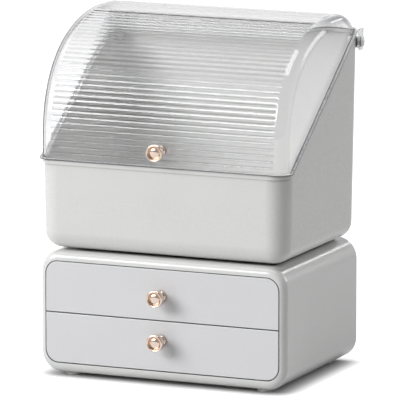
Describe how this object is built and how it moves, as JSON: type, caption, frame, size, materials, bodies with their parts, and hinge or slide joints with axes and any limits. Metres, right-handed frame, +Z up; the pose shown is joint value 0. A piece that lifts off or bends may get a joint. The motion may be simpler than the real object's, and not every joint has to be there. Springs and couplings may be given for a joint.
{
  "type": "dustproof makeup organizer",
  "caption": "Makeup organizer: an open bin with a clear fluted roll-over lid hinged at the back, standing on a rounded cabinet with stacked drawers and small round knobs.",
  "frame": {"origin": "on the plane the feet stand on, midway between the sides and midway between the knob faces and the rearmost edge", "axes": "+Z up, +X to the right as seen from the front, +Y to the back"},
  "size_m": [0.2926, 0.2224, 0.3778],
  "materials": {
    "white_shell": "satin white moulded plastic",
    "white_inner": "matte white moulded plastic",
    "foot": "soft translucent pad",
    "knob": "polished rose gold plating",
    "fastener": "zinc plated steel",
    "clear_lid": "clear moulded plastic, fluted across the front"
  },
  "bodies": {
    "cabinet": {"cabinet_shell": "white_shell", "cabinet_back": "white_shell", "cabinet_back_screws": "fastener", "drawer_shelf": "white_inner", "lower_runner_left": "white_inner", "lower_runner_right": "white_inner", "cabinet_foot_front_left": "foot", "cabinet_foot_front_right": "foot", "cabinet_foot_rear_left": "foot", "cabinet_foot_rear_right": "foot"},
    "upper_drawer": {"upper_drawer_front": "white_shell", "upper_drawer_tray": "white_inner", "upper_drawer_knob": "knob", "upper_drawer_screw": "fastener"},
    "lower_drawer": {"lower_drawer_front": "white_shell", "lower_drawer_tray": "white_inner", "lower_drawer_knob": "knob", "lower_drawer_screw": "fastener"},
    "bin": {"bin_shell": "white_shell", "hinge_pin_left": "fastener", "hinge_pin_right": "fastener", "bin_foot_front_left": "foot", "bin_foot_front_right": "foot", "bin_foot_rear_left": "foot", "bin_foot_rear_right": "foot"},
    "lid": {"lid_shell": "clear_lid", "lid_knob": "knob", "lid_knob_washer": "fastener", "lid_knob_screw": "fastener"}
  },
  "joints": [
    {"name": "bin_lift", "type": "slide", "parent": "cabinet", "child": "bin", "axis": [0, 0, 1], "range_m": [0, 0.03]},
    {"name": "lid_hinge", "type": "hinge", "parent": "bin", "child": "lid", "pos_m": [0, 0.10268, 0.3445], "axis": [-1, 0, 0], "range_deg": [0, 112]},
    {"name": "upper_drawer_slide", "type": "slide", "parent": "cabinet", "child": "upper_drawer", "axis": [0, -1, 0], "range_m": [0, 0.14]},
    {"name": "lower_drawer_slide", "type": "slide", "parent": "cabinet", "child": "lower_drawer", "axis": [0, -1, 0], "range_m": [0, 0.14]}
  ]
}
